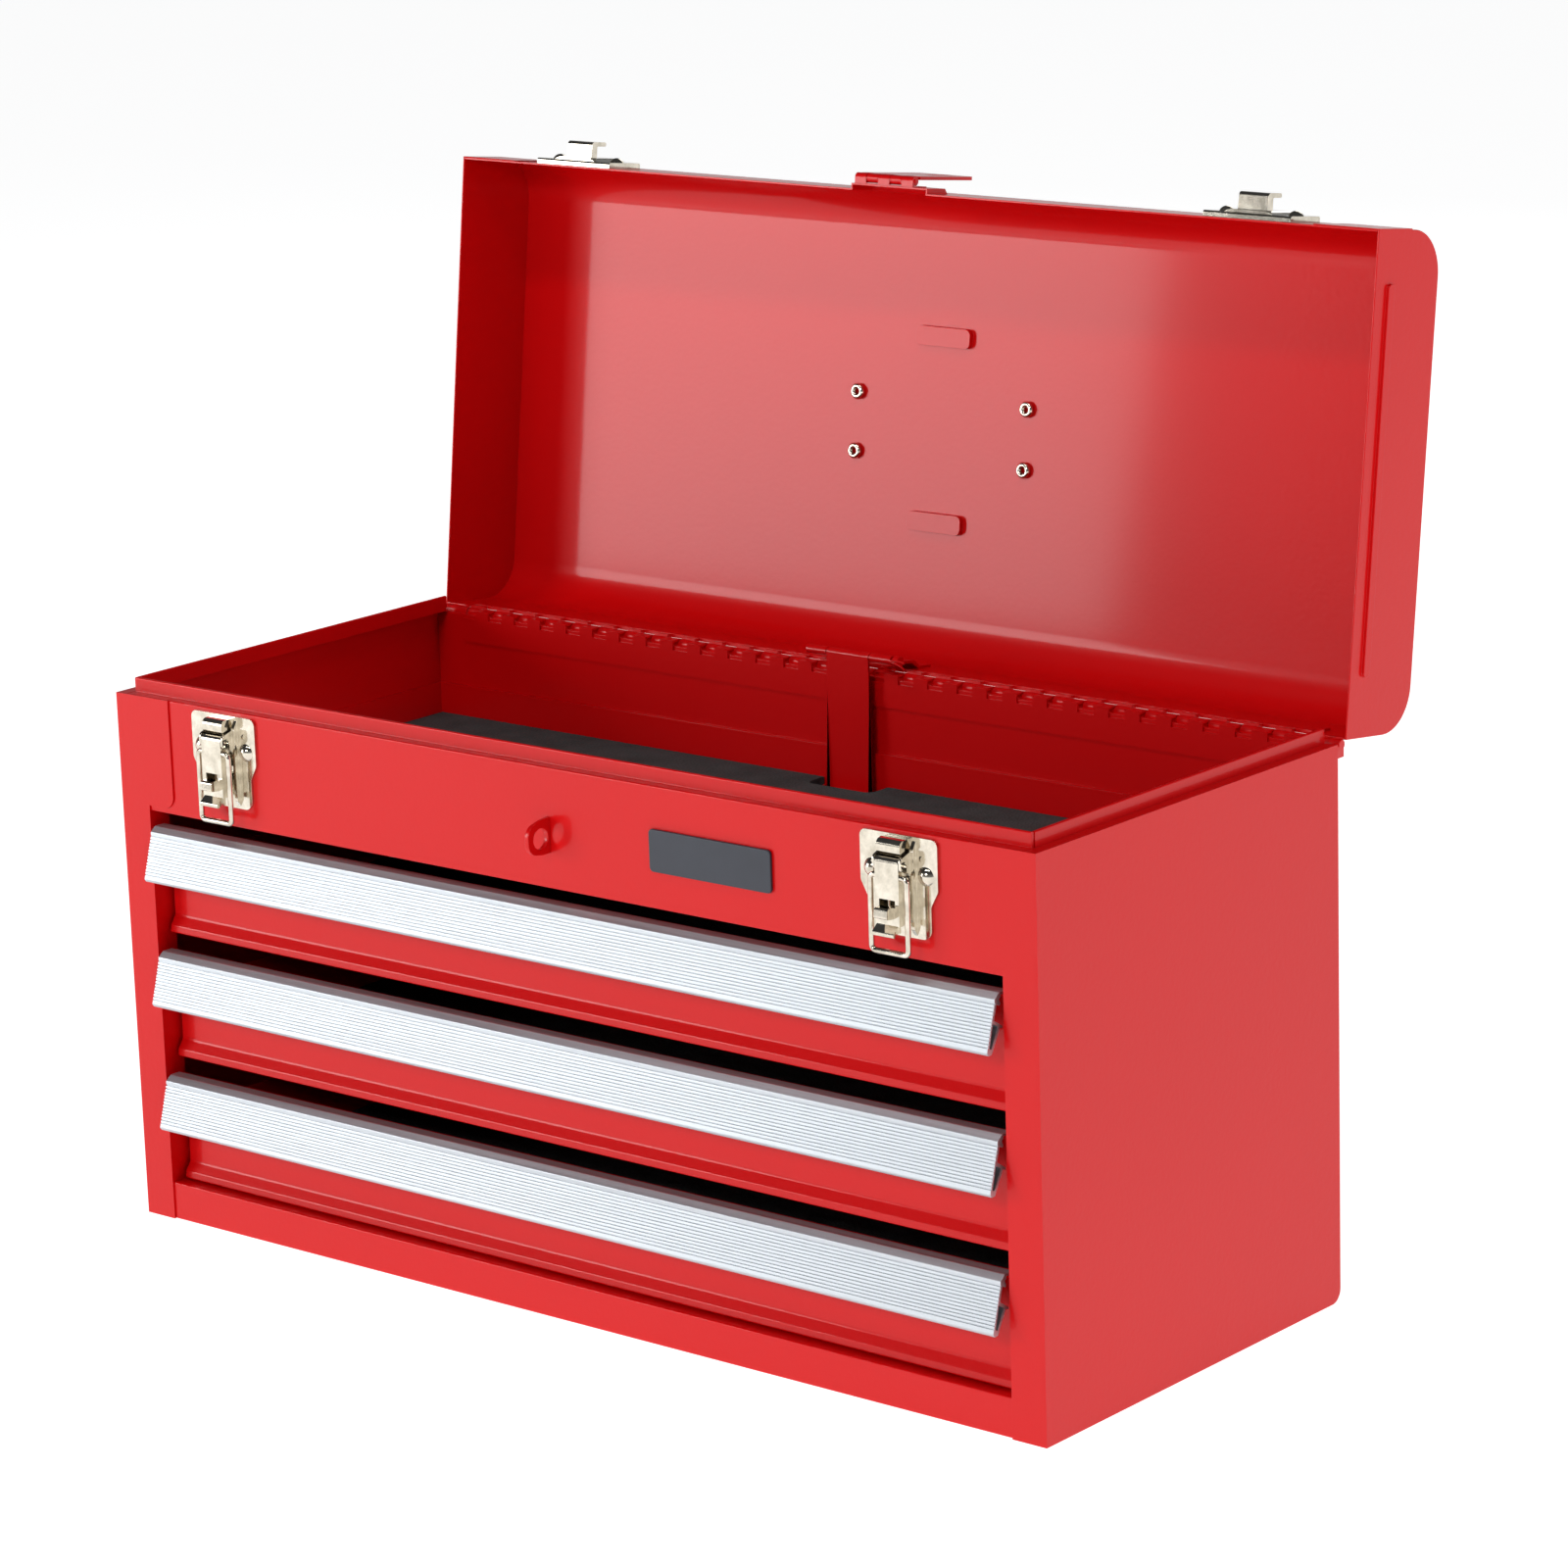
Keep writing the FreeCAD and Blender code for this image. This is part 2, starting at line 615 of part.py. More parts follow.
def latch_lever(label, side):
    """The folded lever: front strip, two cheeks, padlock-style nose and curled thumb tip."""
    x = side * latch_x
    wide = lever_half_width
    y_out = lever_pivot_y - 2.6
    cheek = [(y_out, 209), (y_out + 3, 209), (-107.4, 214), (-107.4, 227.5), (lever_pivot_y + 2.6, 230.5),
             (lever_pivot_y + 2.6, lever_pivot_z + 2.6, 2.55), (y_out, lever_pivot_z + 2.6, 2.55)]
    pieces = []
    for edge, word in ((-1, "a"), (1, "b")):
        low, high = span(edge, wide - 1, wide)
        pieces.append(extruded(f"{label}_cheek_{word}", "YZ", cheek, x + low, x + high))
    strip = [(y_out, 206.5), (y_out + 1, 206.5), (y_out + 1, lever_pivot_z + 1.6, 1.5),
             (lever_pivot_y + 2, lever_pivot_z + 1.6), (lever_pivot_y + 2, lever_pivot_z + 2.6),
             (y_out, lever_pivot_z + 2.6, 2.55)]
    pieces.append(extruded(f"{label}_strip", "YZ", strip, x - wide, x + wide))
    slot = box(f"{label}_slot", (x - 4, x + 4), (y_out - 0.5, y_out + 1.5), (216.6, 219.6))
    nose = [(y_out + 0.2, 217), (y_out - 4.2, 216.8, 1.2), (y_out - 4.8, 212.6, 1), (y_out + 0.2, 212)]
    nose_piece = extruded(f"{label}_nose", "YZ", nose, x - 3.4, x + 3.4)
    tip = [(y_out + 0.9, 209.6), (y_out - 0.1, 209.2, 0.8), (y_out - 3.4, 206.6, 0.8), (y_out - 3.2, 204.9, 0.6),
           (y_out - 2.2, 205.0, 0.5), (y_out + 0.9, 207)]
    tip_piece = extruded(f"{label}_tip", "YZ", tip, x - 5.4, x + 5.4)
    whole = joined(f"{label}_whole", [cut(f"{label}_body", joined(f"{label}_blank", pieces), [slot]),
                                      nose_piece, tip_piece])
    pivot = rod(f"{label}_pivot", 1.1 + pin_play, (x - 8, x + 8), lever_pivot_y, lever_pivot_z)
    eyes = rod(f"{label}_eyes", bail_wire + pin_play, (x - 8, x + 8), bail_pivot_y, bail_pivot_z)
    node(cut(label, whole, [pivot, eyes]), label)


def latch_bail(label, side):
    """The wire loop that hangs on the lever and hooks over the keeper."""
    x, y, z = side * latch_x.number, bail_pivot_y.number, bail_pivot_z.number
    leg, reach = bail_leg_x.number, bail_reach.number
    at = FreeCAD.Vector
    points = [at(x - 5.1, y, z), at(x - leg, y, z), at(x - leg, y, z - reach), at(x + leg, y, z - reach),
              at(x + leg, y, z), at(x + 5.1, y, z)]
    node(from_shape(label, bent_wire(points, bail_wire.number, 2.1)), label)


def keeper(label, side):
    """The catch on the lid: a stepped plate with an upturned hook for the bail."""
    x = side * latch_x
    y = front
    foot = [(y, lid_rim + 2), (y - 2.6, lid_rim + 2, 1), (y - 2.6, lid_rim + 24, 1), (y, lid_rim + 24)]
    pieces = [extruded(f"{label}_plate", "YZ", foot, x - 22.5, x + 22.5)]
    saddle = [(x - 13, y - 2.4), (x - 9, y - 4, 1.5), (x + 9, y - 4, 1.5), (x + 13, y - 2.4)]
    pieces.append(extruded(f"{label}_saddle", "XY", saddle, lid_rim + 3, lid_rim + 22))
    hook = [(y - 3.9, lid_rim + 6), (y - 11.4, lid_rim + 6.6, 1.6), (y - 11.4, lid_rim + 16.4, 0.9),
            (y - 9.4, lid_rim + 16.4, 0.8), (y - 9.4, lid_rim + 10.2, 0.8), (y - 3.9, lid_rim + 10.2, 0.6)]
    pieces.append(extruded(f"{label}_hook", "YZ", hook, x - 7.6, x + 7.6))
    node(on_lid(joined(label, pieces)), label)


def latches():
    """Both draw latches with their pins, rivets and keepers."""
    rivets, keeper_rivets = [], []
    for side, word in ((-1, "left"), (1, "right")):
        latch_base(f"latch_base_{word}", side)
        latch_lever(f"latch_lever_{word}", side)
        latch_bail(f"latch_bail_{word}", side)
        keeper(f"keeper_{word}", side)
        x = side * latch_x
        pin = rod(f"pin_{word}", 1.1, (x - 7.8, x + 7.8), lever_pivot_y, lever_pivot_z)
        node(group(f"latch_pin_{word}", [pin]), f"latch_pin_{word}")
        for edge in (-1, 1):
            rivets.append((x + edge * 13.7, plate_front, 229.2))
            keeper_rivets.append((x + edge * 17.6, front - 2.6, lid_rim + 13))
    node(heads_at("rivets_latch", rivets, 4, 2.4), "latch_rivets")
    node(on_lid(heads_at("rivets_keeper", keeper_rivets, 3.4, 2.1)), "keeper_rivets")


# ---------------------------------------------------------------- hasp
def hasp():
    """The hinged strap that folds down over the padlock lug."""
    axis_y, axis_z, r = hasp_axis_y, hasp_axis_z, hasp_radius
    bore = 0.9
    wall = front - 2.4
    leaf_pieces, strap_pieces = [], []
    first = -20.5
    for place in range(5):
        low = first + 6.6 * place + 0.1
        name = f"hasp_knuckle_{place}"
        knuckle = rod(name, r, (low, low + 6.4), axis_y, axis_z)
        if place % 2 == 0:
            leaf_pieces.append(knuckle)
            leaf_pieces.append(box(f"{name}_root", (low, low + 6.4), (axis_y, wall),
                                   (axis_z - r, axis_z - r + 1.2)))
            continue
        strap_pieces.append(knuckle)
        strap_pieces.append(box(f"{name}_root", (low, low + 6.4), (axis_y - r, axis_y - r + 1.6),
                                (axis_z, axis_z + 6)))
    leaf_pieces.append(box("hasp_leaf_plate", (first, first + 33), (wall - 0.4, wall), (axis_z - r, axis_z + 8)))
    strap_plate = extruded("hasp_strap", "XZ",
                           [(first, axis_z + 3.2), (first + 33, axis_z + 3.2),
                            (first + 33, axis_z + 43.6, 4), (first, axis_z + 43.6, 4)],
                           axis_y - r, axis_y - r + 1.6)
    strap_pieces.append(strap_plate)
    window = box("hasp_window", (lug_x - 2.6, lug_x + 2.6), (axis_y - r - 1, axis_y - r + 3),
                 (axis_z + 23.6, axis_z + 41))
    strap_hole = rod("hasp_strap_bore", bore + pin_play, (first - 1, first + 34), axis_y, axis_z)
    leaf_hole = rod("hasp_leaf_bore", bore + pin_play, (first - 1, first + 34), axis_y, axis_z)
    node(on_lid(cut("hasp_plate", joined("hasp_blank", strap_pieces), [window, strap_hole])), "hasp_plate")
    node(on_lid(cut("hasp_leaf", joined("hasp_leaf_blank", leaf_pieces), [leaf_hole])), "hasp_leaf")
    pin = rod("hasp_rod", bore, (first - 0.3, first + 33.3), axis_y, axis_z)
    node(on_lid(group("hasp_pin", [pin])), "hasp_pin")


# ---------------------------------------------------------------- handle on the lid
def handle():
    """The folding carrying handle: two saddle brackets, a bent rod and a moulded grip."""
    top = lid_top.number
    rod_z = top + handle_rod.number + 1.2
    x, reach = handle_x.number, 42.3
    rise = reach * math.tan(math.radians(lid_open_angle.number - 90))
    at = FreeCAD.Vector
    leg = x + 14.4
    mid = handle_y.number
    points = [at(-x + 5, mid, rod_z), at(-leg, mid, rod_z), at(-leg, mid + reach, rod_z + rise),
              at(leg, mid + reach, rod_z + rise), at(leg, mid, rod_z), at(x - 5, mid, rod_z)]
    bail = bent_wire(points, handle_rod.number - 1, 8)
    grip_half = 38
    sleeve_place = at(-grip_half, mid + reach, rod_z + rise)
    sleeve = Part.makeCylinder(6.5, 2 * grip_half, sleeve_place, at(1, 0, 0))
    bore = Part.makeCylinder(handle_rod.number - 1, 2 * grip_half, sleeve_place, at(1, 0, 0))
    node(on_lid(from_shape("handle_rod_bail", bail)), "handle_bail")
    node(on_lid(from_shape("handle_sleeve", sleeve.cut(bore))), "handle_grip")
    brackets, rivets = [], []
    for side in (-1, 1):
        low = side * x - 6
        plate = Part.makeBox(12, 38, 1.2, at(low, mid - 19, top))
        saddle = Part.makeCylinder(5.2, 12, at(low, mid, rod_z), at(1, 0, 0))
        skirt = Part.makeBox(12, 10.4, rod_z - top, at(low, mid - 5.2, top))
        tunnel = Part.makeCylinder(3.1, 14, at(low - 1, mid, rod_z), at(1, 0, 0))
        brackets.append(plate.multiFuse([saddle, skirt]).cut(tunnel).removeSplitter())
        for edge in (-1, 1):
            place = at(side * x, mid + edge * 13.7, top + 1.2)
            head = domed_head(3.5, 1.8)
            head.rotate(at(0, 0, 0), at(1, 0, 0), -90)
            head.translate(place)
            rivets.append(head)
            ring = Part.makeTorus(2.4, 1.3, at(side * x, mid + edge * 13.7, top - steel.number - 1.3))
            rivets.append(ring)
    node(on_lid(from_shape("saddles", Part.makeCompound(brackets))), "handle_brackets")
    node(on_lid(from_shape("handle_rivet_set", Part.makeCompound(rivets))), "handle_rivets")


# ---------------------------------------------------------------- lock bar behind the drawers
def lock_bar():
    """The hanging bar that drops its hooks over the drawer backs as the lid shuts."""
    y, z = bar_pin_y, bar_pin_z
    face = y - 2
    foot = opening_bottom + pan_height + 1.5
    pieces = [box("bar_strip", (-bar_half_width, bar_half_width), (face, face + bar_thickness), (foot, z)),
              rod("bar_curl", 2, (-bar_half_width, bar_half_width), y, z)]
    for number in range(3):
        rest = opening_bottom + drawer_pitch * number + pan_height + 0.6
        pieces.append(box(f"bar_tongue_{number}", (-bar_half_width, bar_half_width), (face - 9.2, face + 0.2),
                          (rest, rest + 1.2)))
        pieces.append(box(f"bar_lip_{number}", (-bar_half_width, bar_half_width), (face - 9.2, face - 8),
                          (rest - 5, rest + 0.2)))
    bore = rod("bar_bore", 1.1 + pin_play, (-20, 20), y, z)
    bar = cut("lock_bar", joined("bar_whole", pieces), [bore])
    # The bar hangs plumb at every lid angle, so it only rises along the arc of its pin.
    closed = FreeCAD.Vector(0, y.number - hinge_y.number, z.number - hinge_z.number)
    opened = FreeCAD.Rotation(FreeCAD.Vector(1, 0, 0), -lid_open_angle.number).multVec(closed)
    bar.Placement.Base = opened - closed
    node(bar, "lock_bar")
    bracket = [box("bracket_plate", (-24, 24), (105.0, 106.2), (254.5, 264))]
    for number, (low, high) in enumerate(((-23.8, -12.3), (12.5, 24.5))):
        bracket.append(rod(f"bracket_curl_{number}", 2, (low, high), y, z))
        arm = [(y + 0.8, z), (y + 0.8, 250.5, 1), (105.0, 255.5, 0.8), (105.0, 257), (106.2, 257),
               (106.2, 254.8, 1), (y + 2, 249.6, 1), (y + 2, z)]
        bracket.append(extruded(f"bracket_arm_{number}", "YZ", arm, low, high))
    hole = rod("bracket_bore", 1.1 + pin_play, (-30, 30), y, z)
    node(on_lid(cut("lock_bar_bracket", joined("bracket_whole", bracket), [hole])), "lock_bar_bracket")
    pin = [rod("bar_pin_shank", 1.1, (-24.6, 26), y, z), rod("bar_pin_head", 2.4, (26, 29), y, z)]
    node(on_lid(joined("lock_bar_pin", pin)), "lock_bar_pin")


# ---------------------------------------------------------------- drawers
def pull_outline(base):
    """Section of the ribbed finger pull: clip, sloping ribbed face, hollow nose and foot."""
    top_y, top_z = -107.9, 48.6
    low_y, low_z = -113.1, 30.4
    run_y, run_z = low_y - top_y, low_z - top_z
    long = math.hypot(run_y, run_z)
    out_y, out_z = run_z / long, -run_y / long
    ribs = []
    count = 13
    depth = pull_rib_depth
    for number in range(count):
        for part, sunk in ((0.30, 0), (0.42, 1), (0.56, 1), (0.68, 0)):
            along = (number + part) / count
            ribs.append((top_y + run_y * along - sunk * out_y * depth,
                         base + (top_z + run_z * along) - sunk * out_z * depth))
    return ([(-99.5, base + 51.0), (-99.5, base + 52.1), (-104.9, base + 52.1, 0.9), (top_y, base + top_z + 1.2, 0.7)]
            + ribs
            + [(-113.5, base + 28.9, 0.9), (-112.4, base + 27.6, 0.6), (-110.4, base + 27.8, 0.6),
               (-104.9, base + 37.4, 0.5), (-103.4, base + 36.9), (-103.1, base + 37.8), (-105.2, base + 39.2, 0.5),
               (-108.6, base + 41.4, 0.5), (-106.6, base + 48.0), (-104.8, base + 46.6), (-104.2, base + 47.3),
               (-105.2, base + 49.4), (-104.1, base + 50.1), (-104.1, base + 51.0)])


def drawer(number):
    """One drawer: pan, folded front, ribbed pull, foam mat and its two slides."""
    base = opening_bottom + drawer_pitch * (number - 1)
    tag = f"drawer_{number}"
    wide = pan_half_width
    low, high = base + 2.5, base + pan_height
    front_y = face_plane + steel
    shell = box(f"{tag}_blank", (-wide, wide), (front_y, pan_back), (low, high))
    room = box(f"{tag}_room", (-wide + steel, wide - steel), (front_y + steel, pan_back - steel),
               (low + steel, high + 1))
    fold = box(f"{tag}_hem", (-wide + 1, wide - 1), (pan_back - hem, pan_back - steel / 2), (high - 5, high))
    node(joined(f"{tag}_pan", [cut(f"{tag}_shell", shell, [room]), fold]), f"{tag}_pan")

    f = face_plane
    section = [(front_y, base + 0.8), (-99.3, base + 0.8, 0.9), (-98.9, base + 4.2, 1.5), (f, base + 8.6, 3),
               (f, base + 50.2, 1), (-104.0, base + 50.2), (-104.0, base + 51.0), (front_y, base + 51.0, 1.6),
               (front_y, base + 8.2, 2.4), (-98.1, base + 4.1, 0.9), (-98.5, base + 1.6), (front_y, base + 1.6)]
    node(extruded(f"{tag}_face", "YZ", section, -drawer_half_width, drawer_half_width), f"{tag}_front")

    nose = [(-111.9, base + 30.6, 0.4), (-110.7, base + 29.9, 0.4), (-105.9, base + 38.2, 0.4),
            (-109.4, base + 40.3, 0.4)]
    node(extruded(f"{tag}_pull_bar", "YZ", pull_outline(base), -pull_half_width, pull_half_width, [nose]),
         f"{tag}_pull")

    mat = box(f"{tag}_mat", (-wide + 1.4, wide - 1.4), (front_y + 1.4, pan_back - 2.2),
              (low + steel, low + steel + 2))
    node(group(f"{tag}_liner", [mat]), f"{tag}_liner")

    slides = []
    for side, word in ((-1, "left"), (1, "right")):
        slides.append(box(f"{tag}_slide_{word}", span(side, pan_half_width, slide_half_width),
                          (-90, 92), (base + 13, base + 20)))
    node(group(f"{tag}_slides", slides), f"{tag}_slides")


# ---------------------------------------------------------------- build, check, write
side_panel("side_panel_left", -1)
side_panel("side_panel_right", 1)
front_band()
base_pan()
back_panel()
till_pan()
till_liner()
cabinet_runners()
hinge()
lid_wrap()
lid_end("lid_end_left", -1)
lid_end("lid_end_right", 1)
badge()
padlock_lug()
latches()
hasp()
handle()
lock_bar()
for drawer_number in (1, 2, 3):
    drawer(drawer_number)

doc.recompute()
failed = [thing.Name for thing in doc.Objects if "Invalid" in thing.State or "Error" in thing.State]
for piece in shown:
    if piece.Shape.isNull() or not piece.Shape.isValid():
        failed.append(piece.Label)
if failed:
    raise RuntimeError(f"failed objects: {failed}")

os.makedirs("parts", exist_ok=True)
for piece in shown:
    piece.Shape.exportStep(f"parts/{piece.Label}.step")
    box_of = piece.Shape.BoundBox
    print(f"{piece.Label:22s} solids {len(piece.Shape.Solids):3d} volume {piece.Shape.Volume:10.1f}"
          f"  X {box_of.XMin:7.1f} {box_of.XMax:7.1f}  Y {box_of.YMin:7.1f} {box_of.YMax:7.1f}"
          f"  Z {box_of.ZMin:7.1f} {box_of.ZMax:7.1f}")
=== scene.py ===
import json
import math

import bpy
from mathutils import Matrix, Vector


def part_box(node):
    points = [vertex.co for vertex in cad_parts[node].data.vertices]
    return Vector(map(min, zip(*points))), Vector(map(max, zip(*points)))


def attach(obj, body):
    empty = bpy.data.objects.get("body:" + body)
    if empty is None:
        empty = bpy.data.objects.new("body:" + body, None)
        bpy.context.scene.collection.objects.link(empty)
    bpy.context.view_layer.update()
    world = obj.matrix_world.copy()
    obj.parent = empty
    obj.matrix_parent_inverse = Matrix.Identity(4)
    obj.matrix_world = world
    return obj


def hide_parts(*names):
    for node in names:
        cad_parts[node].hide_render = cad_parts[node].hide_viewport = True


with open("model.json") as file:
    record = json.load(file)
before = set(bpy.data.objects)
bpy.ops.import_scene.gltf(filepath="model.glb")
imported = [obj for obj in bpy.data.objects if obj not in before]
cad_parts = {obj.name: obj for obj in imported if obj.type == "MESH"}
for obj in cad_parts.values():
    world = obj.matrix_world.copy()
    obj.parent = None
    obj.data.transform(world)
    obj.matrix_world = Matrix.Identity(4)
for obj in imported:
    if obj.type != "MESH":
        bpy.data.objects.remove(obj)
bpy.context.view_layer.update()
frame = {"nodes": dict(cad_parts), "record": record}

# %% [markdown]
# # A portable steel tool chest
# The chest is a folded sheet-steel cabinet with an open till on top, three drawers below it and
# a hinged lid. The CAD model holds every panel, pin and slide at its real size and place. This
# lesson dresses that frame: it eases the folded edges, models the foam mats, the handle's grip
# and the split pin by hand, and gives each finish its own material.

MM = 0.001
nodes = frame["nodes"]
body_rows = frame["record"]["behaviour"]["bodies"].items()
body_of_node = {node: body for body, names in body_rows for node in names}
slot_of_node = {row["node"]: row["material_slot"] for row in frame["record"]["subparts"]}

# %% [markdown]
# ## Camera
# The chest is seen from its right front corner, a little above, with a long lens that keeps the
# upright edges nearly parallel. A look direction and a small roll give the camera's axes, and
# its matrix is built from them.

# %% Place the camera
AZIMUTH, ELEVATION, ROLL = math.radians(39.97), math.radians(14.13), math.radians(-1.8)
LENS_MM, SENSOR_MM = 120.25, 36
CAMERA_X, CAMERA_Y, CAMERA_Z = 1.4482, -1.6756, 0.773
look = Vector((-math.sin(AZIMUTH) * math.cos(ELEVATION), math.cos(AZIMUTH) * math.cos(ELEVATION),
               -math.sin(ELEVATION)))
level = Vector((math.cos(AZIMUTH), math.sin(AZIMUTH), 0))
above = level.cross(look)
right = level * math.cos(ROLL) + above * math.sin(ROLL)
top = right.cross(look)
lens = bpy.data.cameras.new("chest_camera")
lens.lens, lens.sensor_width = LENS_MM, SENSOR_MM
camera = bpy.data.objects.new("chest_camera", lens)
camera.matrix_world = Matrix((
    (right.x, top.x, -look.x, CAMERA_X),
    (right.y, top.y, -look.y, CAMERA_Y),
    (right.z, top.z, -look.z, CAMERA_Z),
    (0, 0, 0, 1)))
bpy.context.collection.objects.link(camera)
bpy.context.scene.camera = camera
print("camera at", tuple(camera.location))

# %% [markdown]
# ## Material helpers
# Colours are written as sRGB hex and turned to linear light by one function. One more function
# adds a shader node, fills its settings and sockets and joins its links.


# %% Colour and node helpers
def linear(hex_colour, alpha=1.0):
    """An sRGB hex colour as the linear RGBA that shaders read."""
    parts = [int(hex_colour[i:i + 2], 16) / 255 for i in (1, 3, 5)]
    return [p / 12.92 if p <= 0.04045 else ((p + 0.055) / 1.055) ** 2.4 for p in parts] + [alpha]


def add(tree, kind, settings=None, sockets=None, links=None):
    """Adds one shader node, or takes one already there, and gives it settings, values and links."""
    new = tree.nodes.new(kind) if isinstance(kind, str) else kind
    for name, value in (settings or {}).items():
        setattr(new, name, value)
    for name, value in (sockets or {}).items():
        new.inputs[name].default_value = value
    for name, source in (links or {}).items():
        tree.links.new(source, new.inputs[name])
    return new


def new_material(name, sockets):
    """A node material whose shader starts with these constant sockets, its tree and its shader."""
    material = bpy.data.materials.new(name)
    material.use_nodes = True
    shader = material.node_tree.nodes["Principled BSDF"]
    for socket, value in sockets.items():
        shader.inputs[socket].default_value = value
    return material, material.node_tree, shader


# %% [markdown]
# ## Studio
# A pale floor that runs far past the frame. The sky is bright near the horizon and dim overhead,
# as in a studio with tall side screens, so upright panels are lit and the inside of the till
# stays dark. A low broad screen on the left shows as the wide sheen on the inside of the lid, and
# a thin strip above draws a bright line along each folded edge.

# %% Sky
SKY_STRENGTH = 0.36
DIM_FROM = 0.55
world = bpy.data.worlds.new("studio")
world.use_nodes = True
sky = world.node_tree
toward = add(sky, "ShaderNodeTexCoord").outputs["Generated"]
height = add(sky, "ShaderNodeSeparateXYZ", links={"Vector": toward}).outputs["Z"]
shade = add(sky, "ShaderNodeValToRGB", links={"Fac": height})
shade.color_ramp.elements[0].color = linear("#F4F6F8")
shade.color_ramp.elements[1].position, shade.color_ramp.elements[1].color = DIM_FROM, linear("#686A6E")
add(sky, sky.nodes["Background"], sockets={"Strength": SKY_STRENGTH},
    links={"Color": shade.outputs["Color"]})
bpy.context.scene.world = world
bpy.context.scene.view_settings.view_transform = "Standard"
print("sky strength", SKY_STRENGTH)

# %% Floor
bpy.ops.object.select_all(action="DESELECT")
FLOOR_SIZE, FLOOR_MIDDLE = 40, (0, 6, 0)
bpy.ops.mesh.primitive_plane_add(size=FLOOR_SIZE, location=FLOOR_MIDDLE)
floor = bpy.context.object
floor.name = "floor"
floor_paint, tree, shader = new_material("matt_studio_floor", {
    "Roughness": 0.9, "Specular IOR Level": 0.1, "Emission Strength": 0.9})
shader.inputs["Emission Color"].default_value = (1, 1, 1, 1)
place = add(tree, "ShaderNodeTexCoord").outputs["Object"]
speck = add(tree, "ShaderNodeTexNoise", sockets={"Scale": 3.0}, links={"Vector": place})
tone = add(tree, "ShaderNodeValToRGB", links={"Fac": speck.outputs["Fac"]})
tone.color_ramp.elements[0].color = linear("#D2D2D1")
tone.color_ramp.elements[1].color = linear("#D6D6D5")
add(tree, shader, links={"Base Color": tone.outputs["Color"]})
floor.data.materials.append(floor_paint)
print("floor", FLOOR_SIZE, "m wide")


# %% Lamps
def soft_lamp(name, place, target, size, power):
    """An oblong area lamp that faces its target."""
    lamp = bpy.data.lights.new(name, "AREA")
    lamp.shape, lamp.size, lamp.size_y = "RECTANGLE", size[0], size[1]
    lamp.energy = power
    holder = bpy.data.objects.new(name, lamp)
    holder.location = place
    holder.rotation_euler = (Vector(target) - Vector(place)).to_track_quat("-Z", "Y").to_euler()
    bpy.context.collection.objects.link(holder)


soft_lamp("left_screen", (-1.75, -1.7, 0.66), (0, 0.1, 0.35), (0.9, 0.9), 20)
soft_lamp("front_lamp", (0.3, -2.6, 1.5), (0, 0, 0.15), (0.8, 0.4), 18)
soft_lamp("right_lamp", (2.5, 0.35, 0.9), (0.1, 0, 0.15), (0.7, 0.8), 18)
soft_lamp("top_strip", (0.1, -0.9, 2.1), (0, 0, 0.2), (1.5, 0.08), 9)
soft_lamp("back_lamp", (-0.6, 2.4, 1.6), (0, 0, 0.3), (1.4, 1.2), 12)

# %% [markdown]
# ## Red enamel
# The sheet steel is sprayed and baked with gloss enamel, which is a hard alkyd paint of index
# about 1.5. Up close such paint has orange peel: a soft ripple a few millimetres across, which
# breaks up its reflections. The colour drifts very slightly where the coat is thicker, and a
# thin clear top gives the sharp second reflection.

# %% Gloss red enamel
red_enamel, tree, shader = new_material("gloss_red_baked_enamel", {
    "IOR": 1.5, "Specular IOR Level": 0.16, "Coat Weight": 0.3, "Coat Roughness": 0.08, "Coat IOR": 1.5})
place = add(tree, "ShaderNodeTexCoord").outputs["Object"]
drift = add(tree, "ShaderNodeTexNoise", sockets={"Scale": 5.0, "Detail": 1.0}, links={"Vector": place})
coat = add(tree, "ShaderNodeValToRGB", links={"Fac": drift.outputs["Fac"]})
for stop, at, hex_colour in zip(coat.color_ramp.elements, (0.1, 0.9), ("#CB0306", "#D30408")):
    stop.position, stop.color = at, linear(hex_colour)
haze = add(tree, "ShaderNodeMapRange", sockets={"To Min": 0.32, "To Max": 0.36},
           links={"Value": drift.outputs["Fac"]})
# Orange peel is drawn 2.5 mm across, the coarse end of what a spray gun leaves.
peel = add(tree, "ShaderNodeTexNoise", sockets={"Scale": 400.0, "Detail": 2.0}, links={"Vector": place})
ripple = add(tree, "ShaderNodeBump", sockets={"Strength": 0.22, "Distance": 0.0004},
             links={"Height": peel.outputs["Fac"]})
add(tree, shader, links={"Base Color": coat.outputs["Color"], "Roughness": haze.outputs["Result"],
                         "Normal": ripple.outputs["Normal"]})
print("made", red_enamel.name)

# %% [markdown]
# ## Metals
# The latches, keepers and handle are bright nickel plate on pressed steel: a warm mirror with a
# faint haze. The drawer pulls are satin anodised aluminium extrusion, with fine die lines along
# their length. The slides are zinc-plated strip, greyer and duller. All three are metals, so
# they differ in colour, roughness and the shape of their grain, and one loop makes them.

